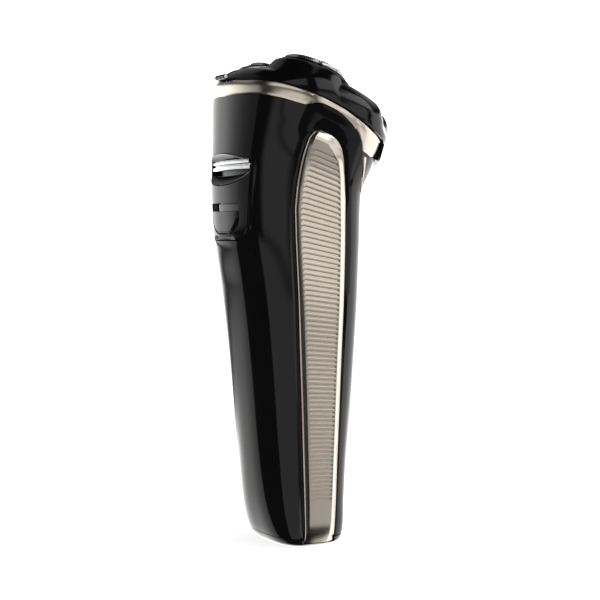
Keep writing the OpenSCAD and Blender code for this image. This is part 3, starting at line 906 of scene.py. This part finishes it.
CUTTERS = []
for number in (1, 2, 3):
    place = joints[f"drive_{number}_spin"]["pos_m"]
    CUTTERS.append((place[0] / MM, place[1] / MM / math.cos(TILT)))
RING_R = 11.6
COVER_STEPS = 240
COVER_TOP = 11.5
# Heights of the rows up the cover's wall, above the parting plane
WALL_HEIGHTS = [0.0, 0.25, 0.8, 1.6, 2.4, 3.2, 4.0, 4.8, 5.6, 6.4, 7.2, 8.0, 8.8, 9.6, 10.3, 10.8,
                11.1, 11.3, 11.42, 11.48]
DECK_ROWS = 14
COVER_ROWS = len(WALL_HEIGHTS) - 1 + DECK_ROWS
# Outline of the cover's base, as a share of its foot: height, share
BASE_SHARE = [(0, 0.99), (1.2, 1.0), (3, 0.985), (5.5, 0.93), (8, 0.79), (9, 0.7), (11.5, 0.3)]
FRONT_SHARE = [(0, 0.985), (2, 1.0), (5.5, 0.99), (8, 0.955), (10, 0.89), (11.1, 0.79), (11.5, 0.68)]
# Radius of a lobe over the height
LOBE_R = [(0, 17.6), (6, 15.3), (10.2, 13.8), (11, 13.45), (11.35, 13.1), (11.5, 12.75)]


def cover_foot(angle):
    """Distance from the head's centre to the cover's outline in a direction."""
    turn = math.radians(angle)
    c, s = math.cos(turn), math.sin(turn)
    low, high = 5.0, 40.0
    for _ in range(22):
        reach = (low + high) / 2
        v = HUB_V + reach * s
        deep = 26.6 if v >= 0 else 32.2
        inside = (abs(reach * c) / 27.95) ** 2.3 + (abs(v) / deep) ** 2.3 < 1
        low, high = (reach, high) if inside else (low, reach)
    return low


def lobe_reach(angle, radius):
    """Distance from the head's centre to the farthest lobe edge in a direction."""
    best = 0.0
    for cx, cv in CUTTERS:
        away = math.radians(angle) - math.atan2(cv - HUB_V, cx)
        circle = math.hypot(cx, cv - HUB_V)
        under = radius * radius - (circle * math.sin(away)) ** 2
        if under > 0 and (math.cos(away) > 0 or radius > circle):
            best = max(best, circle * math.cos(away) + math.sqrt(under))
    return best


@functools.lru_cache(maxsize=None)
def cover_reach(angle, w):
    """Distance from the head's centre to the cover's wall at a height."""
    foot = cover_foot(angle)
    front = ease((angle - 136) / 26)
    share = lookup(BASE_SHARE, w) * (1 - front) + lookup(FRONT_SHARE, w) * front
    belly = 1 - 0.0009 * (w - 3.5) ** 2
    valley = 0.09 * math.exp(-((angle - 229) / 8) ** 2) * ease((w - 1.5) / 7)
    lobe = lobe_reach(angle, lookup(LOBE_R, w))
    return min(foot * belly, max(lobe, foot * (share - valley)))


def cover_point(column, row, inset=0.0):
    angle = round(90 + 180 * column / COVER_STEPS, 4)
    turn = math.radians(angle)
    foot = 0.25 + parting_lift(angle)
    last = len(WALL_HEIGHTS) - 1
    height = WALL_HEIGHTS[min(row, last)]
    w = foot + (COVER_TOP - foot) * height / COVER_TOP
    reach = cover_reach(angle, round(w, 4)) - inset
    if row == 0:
        reach -= 0.3
    if row > last:
        share = (row - last) / DECK_ROWS
        reach *= 1 - share
        w += 0.02 + 0.25 * ease(share * 2)
    return in_head(reach * math.cos(turn), HUB_V + reach * math.sin(turn), w - inset * (row >= last))


def make_head_cover():
    bm = new_bmesh()
    add_sheet(bm, COVER_STEPS, COVER_ROWS, cover_point)
    mirror_across(bm)
    weld(bm)
    add_wall(bm, lambda column, row: cover_point(column, row, 1.6))
    weld(bm)
    piece = make_piece(bm, "lobed_head_cover", gloss_black, 20)
    wells = [cylinder("well", RING_R + 0.35, 96, 12, at_cutter(number, 11.4))
             for number in (1, 2, 3)]
    carve(piece, *wells)
    return place_on(piece, "shaving_head", "gloss_black", "head_cover")


def at_cutter(number, up=0.0):
    """Places a piece made about Z on the axis of a cutter."""
    cx, cv = CUTTERS[number - 1]
    return lambda co: in_head(co.x + cx, co.y + cv, co.z + up)


CAP_R = 10.4


def make_cap_ring(number):
    profile = rounded([(RING_R, 9.3), (RING_R, 12.6), (CAP_R + 0.1, 12.9), (CAP_R + 0.1, 10.4),
                       (CAP_R - 0.4, 10.4), (CAP_R - 0.4, 9.3)], 0.25)
    piece = turned_piece(f"cap_carrier_{number}", profile, 96, at_cutter(number), gloss_black)
    place_on(piece, f"cap_{number}", "gloss_black", f"cap_ring_{number}")


# Profile of the steel cap from the rim inwards: radius, height
CAP_PROFILE = [(CAP_R, 10.6), (CAP_R, 12.4), (CAP_R, 13.2), (CAP_R - 0.05, 13.7), (10.2, 14.05),
               (9.95, 14.2), (9.0, 14.2), (8.1, 14.2), (7.75, 14.05), (7.5, 13.5), (6.9, 13.3),
               (4.6, 13.25), (4.2, 13.1), (3.9, 12.8), (3.4, 12.7), (1.6, 12.75), (0.8, 12.8)]
SLOTS = 90
SLOT_COLUMNS = 4
SLOT_ROWS = range(2, 8)


def cap_point(column, row, thin=0.0):
    turn = math.tau * column / (SLOTS * SLOT_COLUMNS)
    radius, height = CAP_PROFILE[row]
    if thin:
        radius, height = max(radius - thin, 0.4), height - thin
    return Vector((radius * math.cos(turn), radius * math.sin(turn), height))


def make_shaving_cap(number):
    place = at_cutter(number)
    bm = new_bmesh()
    column = bm.verts.layers.int["column"]
    row = bm.verts.layers.int["row"]
    add_sheet(bm, SLOTS * SLOT_COLUMNS, len(CAP_PROFILE) - 1, cap_point)
    slots = [face for face in bm.faces
             if max(v[row] for v in face.verts) - 1 in SLOT_ROWS
             and (min(v[column] for v in face.verts)) % SLOT_COLUMNS == 1]
    bmesh.ops.delete(bm, geom=slots, context="FACES")
    weld(bm)
    add_wall(bm, lambda i, j: cap_point(i, j, 0.32))
    for vert in bm.verts:
        vert.co = place(vert.co)
    piece = make_piece(bm, f"slotted_cap_{number}", shaving_steel)
    place_on(piece, f"cap_{number}", "shaving_steel", f"shaving_cap_{number}")


# ---------- release button, power button, base

RELEASE_COLUMNS = 20
RELEASE_ROWS = 10
RELEASE_EDGE = 232
RELEASE_LOW = 134.7
RELEASE_TOP = PARTING - 0.25


def release_point(column, row, outside):
    """Corner of the release button, crowned on its outside."""
    angle = RELEASE_EDGE + (270 - RELEASE_EDGE) * column / RELEASE_COLUMNS
    share = row / RELEASE_ROWS
    level = RELEASE_LOW + (RELEASE_TOP - RELEASE_LOW) * share
    crown = 1.75 - 0.5 * share - 0.7 * (1 - ease(row / 1.2)) - 0.6 * (1 - ease(column / 1.2))
    return skin(angle, level, crown if outside else -0.35)


def make_release_button():
    bm = walled(RELEASE_COLUMNS, RELEASE_ROWS, lambda i, j: release_point(i, j, True),
                lambda i, j: release_point(i, j, False))
    piece = make_piece(bm, "release_button", gloss_black)
    return place_on(piece, "release_button", "gloss_black", "head_release_button")


def facing_front(x, z, y_face):
    """Places a turned piece so that its height runs towards the front from y_face."""
    return lambda co: Vector((x + co.x, y_face - co.z, z + co.y))


def make_power_button():
    y_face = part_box("power_button")[1].y / MM
    reach = (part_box("power_button")[1].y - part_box("power_button")[0].y) / MM
    r = BUTTON_R
    profile = [(0.0, 0), (2.0, 0), (2.0, reach - 3.9), (r + 0.8, reach - 3.9), (r + 0.8, reach - 3.2),
               (r, reach - 3.2), (r, reach - 0.35), (r - 0.3, reach - 0.05), (r - 0.7, reach),
               (r - 1.3, reach - 0.05), (r - 2.2, reach - 0.35), (2.6, reach - 0.5), (0.0, reach - 0.55)]
    piece = turned_piece("power_button_cap", profile, 96,
                         facing_front(0, BUTTON_Z, y_face), dark_plastic)
    place_on(piece, "power_button", "gloss_black", "power_button")
    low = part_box("button_bezel")[0].y / MM
    y_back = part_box("button_bezel")[1].y / MM
    tall = y_back - low
    ring = rounded([(r + 0.2, 0), (r + 1.0, 0), (r + 1.0, tall - 0.3), (r + 0.75, tall),
                    (r + 0.35, tall), (r + 0.2, tall - 0.3)], 0.12)
    piece = turned_piece("button_trim_ring", ring, 96, facing_front(0, BUTTON_Z, y_back), chrome)
    place_on(piece, "handle", "chrome", "button_bezel")


BASE_STEPS = 180
BASE_LEVELS = [0.0, 0.06, 0.25, 0.6, 1.05, 1.2, 2.2, 2.9, BASE_TOP]


def base_point(column, row):
    level = BASE_LEVELS[row]
    tuck = -1.1 if row == 0 else -0.55 if row == 1 else -0.2 if row == 2 else 0
    lift = tuck - (0.12 if row == len(BASE_LEVELS) - 1 else 0)
    angle = 90 + 360 * column / BASE_STEPS
    half, back, front, lean, squareness = section(level)
    x, v = outline(angle, half + lift, back + lift, front + lift, squareness)
    if level > GRIP_LOW - 0.15 and lookup(GRIP_FRONT, level) < v < lookup(GRIP_BACK, level):
        x -= math.copysign(1.7, x)
    return Vector((x, v, level))


def stadium_points(width, depth, y):
    """Outline with round ends, across X."""
    made = []
    for side in (1, -1):
        for i in range(13):
            turn = math.radians(-90 + 15 * i)
            made.append((side * ((width - depth) / 2 + depth / 2 * math.cos(turn)),
                         y + side * depth / 2 * math.sin(turn)))
    return made


def make_base():
    bm = new_bmesh()
    add_sheet(bm, BASE_STEPS, len(BASE_LEVELS) - 1, base_point)
    close_ends(bm)
    piece = make_piece(bm, "base_cover", gloss_black)
    inlet = (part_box("inlet_pins")[0].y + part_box("inlet_pins")[1].y) / 2 / MM
    corners = [(x, y, -1) for x, y in stadium_points(15.2, 8.8, inlet)]
    cutters = [prism("inlet_hole", corners, (0, 0, 6))]
    screw_y = (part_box("base_screws")[0].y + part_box("base_screws")[1].y) / 2 / MM
    for x in (-12, 12):
        for radius, top in ((1.0, 8), (2.0, 2.5)):
            cutters.append(cylinder("screw_hole", radius, 48, top,
                                    lambda co: co + Vector((x, screw_y, top / 2 - 1))))
    carve(piece, *cutters)
    return place_on(piece, "handle", "gloss_black", "base_plate")


# ---------- pop-out trimmer

FLAP_COLUMNS = [-1, -0.985, -0.9, -0.8, -0.71, -0.7, -0.55, -0.35, -0.15, 0]
FLAP_HEIGHTS = [0.0, 0.15, 0.6, 1.2, 1.75, 1.85, 2.1, 2.5, 3.1, 3.9, 5.0, 6.5, 8.0, 9.5, 10.8,
                11.85, 11.95, 13, 14.5, 16, 17.2, 18, 18.5, 19, 19.5, 20, 20.5, 21, 21.4, 21.7]
PAD_HALF = 9.4
PAD_LOW = 102.25
PAD_BEND = 107.2
RECESS_DEPTH = 1.5


def pad_half(z):
    """Half width of the thumb pad, whose lower end is a half ellipse."""
    if z > PAD_BEND:
        return PAD_HALF
    return PAD_HALF * math.sqrt(max(1 - ((PAD_BEND - z) / (PAD_BEND - PAD_LOW + 0.35)) ** 2, 0))


def flap_place(column, row):
    z = FLAP_LOW + FLAP_HEIGHTS[row]
    half = flap_half(z) if z > FLAP_LOW + 0.1 else 8.6
    share = FLAP_COLUMNS[column]
    recess_half = pad_half(max(z, FLAP_LOW + 1.8) + 0.3) + 0.3
    if abs(share) <= 0.71:
        x = share / 0.7 * recess_half if abs(share) <= 0.7 else -recess_half - 0.12
    else:
        x = -(recess_half + 0.12) - (half - recess_half - 0.12) * (abs(share) - 0.71) / 0.29
    return x, z


def flap_point(column, row):
    x, z = flap_place(column, row)
    height = z - FLAP_LOW
    inside = abs(FLAP_COLUMNS[column]) <= 0.7 and 1.8 < height < 11.9
    edge = 0.25 if column == 0 or row == 0 else 0.0
    lift = 0.2 - (RECESS_DEPTH if inside else 0) - edge
    return back_skin(x, z, lift)


def make_trimmer_flap():
    bm = walled(len(FLAP_COLUMNS) - 1, len(FLAP_HEIGHTS) - 1, flap_point, flap_inner)
    piece = make_piece(bm, "trimmer_lid", gloss_black)
    carve(piece, make_dish())
    place_on(piece, "trimmer", "gloss_black", "trimmer_flap")


def flap_inner(column, row):
    x, z = flap_place(column, row)
    return back_skin(x, z, -2.1 - 1.6 * ease((z - 115) / 3))


PAD_COLUMNS = 12
PAD_ROWS = [0.0, 0.1, 0.3, 0.6, 1.0, 1.5, 2.2, 3.0, 4.0, 5.0, 6.0, 6.7, 7.0, 7.15, 7.2]


def pad_point(column, row, outside):
    z = PAD_LOW + PAD_ROWS[row]
    x = -pad_half(z) * (1 - column / PAD_COLUMNS)
    edge = 0.3 * (1 - ease(min(column, row, len(PAD_ROWS) - 1 - row) / 1.5))
    return back_skin(x, z, 0.28 - edge if outside else -0.7)


def make_trimmer_slider():
    bm = walled(PAD_COLUMNS, len(PAD_ROWS) - 1, lambda i, j: pad_point(i, j, True),
                lambda i, j: pad_point(i, j, False))
    piece = make_piece(bm, "trimmer_slide_pad", gloss_black)
    place_on(piece, "trimmer_slider", "gloss_black", "trimmer_slider")


def add_bar(bm, low, high, bevel):
    """Adds a bar between two corners with its edges rounded off."""
    made = bmesh.ops.create_cube(bm, size=1)["verts"]
    low, high = Vector(low), Vector(high)
    size = high - low
    bmesh.ops.scale(bm, vec=size, verts=made)
    bmesh.ops.translate(bm, vec=(low + high) / 2, verts=made)
    if bevel:
        edges = list({edge for vert in made for edge in vert.link_edges})
        bmesh.ops.bevel(bm, geom=edges, offset=bevel, offset_type="OFFSET", segments=2,
                        profile=0.5, affect="EDGES", material=-1)


# How far a bar's ends bow back, as a factor of the square of the place across
BOW = 0.0105


def add_curved_bar(bm, half, y_out, low, high, thick, steps=28):
    """Adds a bar across X with rounded edges, whose ends bow back to follow the handle."""
    bevel = 0.16
    edge = [(0, low + bevel), (0, high - bevel), (-bevel, high), (-thick + bevel, high),
            (-thick, high - bevel), (-thick, low + bevel), (-thick + bevel, low), (-bevel, low)]
    part = new_bmesh()

    def place(column, row):
        x = half * (2 * column / steps - 1)
        inset, z = edge[row % len(edge)]
        return Vector((x, y_out - BOW * x * x + inset, z))

    add_sheet(part, steps, len(edge), place)
    close_ends(part)
    join_to(bm, part)


def add_teeth(bm, count, pitch, y_out, low, high):
    """Adds a row of fine teeth that follows the same bow as the bars."""
    for i in range(-count, count + 1):
        x = i * pitch
        y = y_out - BOW * x * x
        add_bar(bm, (x - pitch * 0.27, y - 0.5, low), (x + pitch * 0.27, y, high), 0)


def make_trimmer_blades():
    comb_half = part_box("trimmer_comb")[1].x / MM
    y_out = 24.9
    bm = bmesh.new()
    add_curved_bar(bm, comb_half, y_out, FLAP_TOP + 0.95, FLAP_TOP + 2.2, 1.8)
    add_curved_bar(bm, comb_half - 3.4, y_out + 0.06, FLAP_TOP + 1.25, FLAP_TOP + 1.9, 0.4)
    add_teeth(bm, 22, 0.6, y_out - 0.9, FLAP_TOP + 2.1, FLAP_TOP + 2.75)
    piece = make_piece(bm, "trimmer_comb_bar", chrome)
    place_on(piece, "trimmer", "chrome", "trimmer_comb")
    blade_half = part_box("trimmer_blade")[1].x / MM
    bm = bmesh.new()
    add_curved_bar(bm, blade_half + 0.6, y_out - 0.1, FLAP_TOP + 2.85, FLAP_TOP + 3.85, 1.5)
    add_teeth(bm, 20, 0.6, y_out - 0.8, FLAP_TOP + 3.8, FLAP_TOP + 4.2)
    piece = make_piece(bm, "trimmer_cutting_bar", chrome)
    place_on(piece, "trimmer_blade", "chrome", "trimmer_blade")


def barrel(name, x_low, x_high, radius, bore, place, material):
    """Hinge barrel along X round a pin; place puts a point (x, out, up) measured from the pin."""
    ring = rounded([(bore, x_low), (radius, x_low), (radius, x_high), (bore, x_high)], 0.05)
    return turned_piece(name, ring, 40, lambda co: place(co.z, co.x, co.y), material)


def make_hinges():
    """Slim barrels of the trimmer's hinge and of the head's hinge."""
    low, high = (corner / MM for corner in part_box("trimmer_hinge_pin"))
    y, z = (low.y + high.y) / 2, (low.z + high.z) / 2

    def by_trimmer(x, out, up):
        return Vector((x, y + out, z + up))

    low, high = (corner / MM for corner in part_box("trimmer_hinge_knuckle"))
    piece = barrel("lid_knuckle", low.x, high.x, 0.78, 0.62, by_trimmer, dark_plastic)
    place_on(piece, "trimmer", "gloss_black", "trimmer_hinge_knuckle")
    low, high = (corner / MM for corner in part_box("trimmer_hinge_ears"))
    for side, label in ((-1, "left"), (1, "right")):
        inner, outer = sorted((side * (high.x - 2), side * high.x))
        piece = barrel(f"lid_lug_{label}", inner, outer, 0.78, 0.61, by_trimmer, dark_plastic)
        place_on(piece, "handle", "gloss_black", "trimmer_hinge_ears")

    pin = joints["head_hinge"]["pos_m"]
    pin_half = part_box("head_hinge_pin")[1].x / MM
    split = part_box("hinge_leaf_cover")[1].x / MM

    def by_head(x, out, up):
        return Vector((x, pin[1] / MM + out, pin[2] / MM + up))

    piece = barrel("head_barrel_middle", -split, split, 0.85, 0.62, by_head, gloss_black)
    place_on(piece, "shaving_head", "gloss_black", "hinge_leaf_cover")
    for side, label in ((-1, "left"), (1, "right")):
        inner, outer = sorted((side * (split + 0.2), side * pin_half))
        piece = barrel(f"head_barrel_{label}", inner, outer, 0.85, 0.62, by_head, gloss_black)
        place_on(piece, "handle", "gloss_black", "hinge_leaf_body")


# ---------- floor, light and camera

def make_floor():
    bm = bmesh.new()
    bmesh.ops.create_grid(bm, x_segments=1, y_segments=1, size=3000)
    material, tree, shader = new_material("pale_floor", Roughness=0.9)
    shader.inputs["Base Color"].default_value = (0.9, 0.9, 0.9, 1)
    shader.inputs["Emission Color"].default_value = (1, 1, 1, 1)
    shader.inputs["Emission Strength"].default_value = 0.8
    floor = make_piece(bm, "floor", material)
    floor.visible_glossy = False


# Softboxes round the object: azimuth from +X, half width, side edge, lowest and highest
# elevation, end edge, strength
SOFTBOXES = [
    (-4, 50, 3, -60, -7, 4, 0.9),
    (-24, 66, 60, -60, -7, 4, 2.4),
    (22, 74, 3, -8, 16, 4, 0.5),
    (0, 92, 80, -8, 16, 4, 1.9),
    (0, 90, 30, 18, 60, 10, 0.35),
    (139, 33, 3, -60, -7, 4, 1.05),
    (146, 32, 14, -9, 8, 3, 1.05),
    (143, 33, 6, 17, 36, 5, 1.3),
    (215, 31, 6, -11, 13, 5, 1.35),
    (215, 31, 6, -32, -9, 5, 0.6),
    (226, 40, 5, 13, 36, 5, 2.4),
    (242, 10, 3, -60, -11, 3, 1.0),
    (284, 36, 4, -60, 16, 6, 1.9),
    (284, 60, 20, 16, 40, 10, 0.5),
    (250, 70, 20, 50, 85, 10, 1.0),
]


def make_softbox_group():
    """Light of one softbox in a direction given by its azimuth and elevation, all in degrees."""
    group, given, out = new_group(
        "softbox", [(label, 0.0) for label in ("Azimuth", "Elevation", "Centre", "Half width",
                                               "Low", "High", "Side edge", "End edge",
                                               "Strength")],
        [("Light", "NodeSocketFloat")])
    away = math_node(group, "SUBTRACT", given.outputs["Azimuth"], given.outputs["Centre"])
    away = math_node(group, "ABSOLUTE", math_node(group, "WRAP", away, 180, -180))
    inside = [
        (math_node(group, "SUBTRACT", given.outputs["Half width"], away), "Side edge"),
        (math_node(group, "SUBTRACT", given.outputs["Elevation"], given.outputs["Low"]), "End edge"),
        (math_node(group, "SUBTRACT", given.outputs["High"], given.outputs["Elevation"]), "End edge"),
    ]
    light = given.outputs["Strength"]
    for distance, edge in inside:
        fade = group.nodes.new("ShaderNodeMapRange")
        fade.interpolation_type = "SMOOTHSTEP"
        link(group, distance, fade.inputs["Value"])
        link(group, given.outputs[edge], fade.inputs["From Max"])
        light = math_node(group, "MULTIPLY", light, fade.outputs["Result"])
    link(group, light, out.inputs["Light"])
    return group


def make_world():
    """Studio: pale behind the object, dark all round it but for the softboxes."""
    world = bpy.data.worlds.new("studio")
    bpy.context.scene.world = world
    world.use_nodes = True
    tree = world.node_tree
    background = tree.nodes["Background"]
    split = tree.nodes.new("ShaderNodeSeparateXYZ")
    link(tree, tree.nodes.new("ShaderNodeTexCoord").outputs["Generated"], split.inputs[0])
    turn = math_node(tree, "ARCTAN2", split.outputs[1], split.outputs[0])
    turn = math_node(tree, "DEGREES", turn)
    climb = math_node(tree, "DEGREES", math_node(tree, "ARCSINE", split.outputs[2]))
    group = make_softbox_group()
    total = 0.012
    for centre, half, side, low, high, end, strength in SOFTBOXES:
        box = add_group(tree, group, Centre=centre, Half_width=half, Side_edge=side, Low=low,
                        High=high, End_edge=end, Strength=strength)
        link(tree, turn, box.inputs["Azimuth"])
        link(tree, climb, box.inputs["Elevation"])
        total = math_node(tree, "ADD", box.outputs["Light"], total)
    path = tree.nodes.new("ShaderNodeLightPath")
    link(tree, math_node(tree, "MAXIMUM", total, path.outputs["Is Camera Ray"]),
         background.inputs["Strength"])
    background.inputs["Color"].default_value = (1.0, 0.99, 0.98, 1)


def make_camera():
    """Camera level with the upper handle, on the shaver's left and a little behind it."""
    data = bpy.data.cameras.new("camera")
    data.lens = 87.1
    camera = bpy.data.objects.new("camera", data)
    bpy.context.scene.collection.objects.link(camera)
    camera.location = (-0.4282, 0.2277, 0.1)
    aim = Vector((-0.0011, -0.0021, 0.0801)) - camera.location
    camera.rotation_euler = aim.to_track_quat("-Z", "Y").to_euler()
    bpy.context.scene.camera = camera


make_rear_shell()
make_front_fascia()
make_grips()
make_collar()
make_head_cover()
for number in (1, 2, 3):
    make_cap_ring(number)
    make_shaving_cap(number)
make_release_button()
make_power_button()
make_base()
make_trimmer_flap()
make_trimmer_slider()
make_trimmer_blades()
make_hinges()
make_floor()
make_world()
make_camera()
bpy.context.scene.view_settings.view_transform = "Standard"
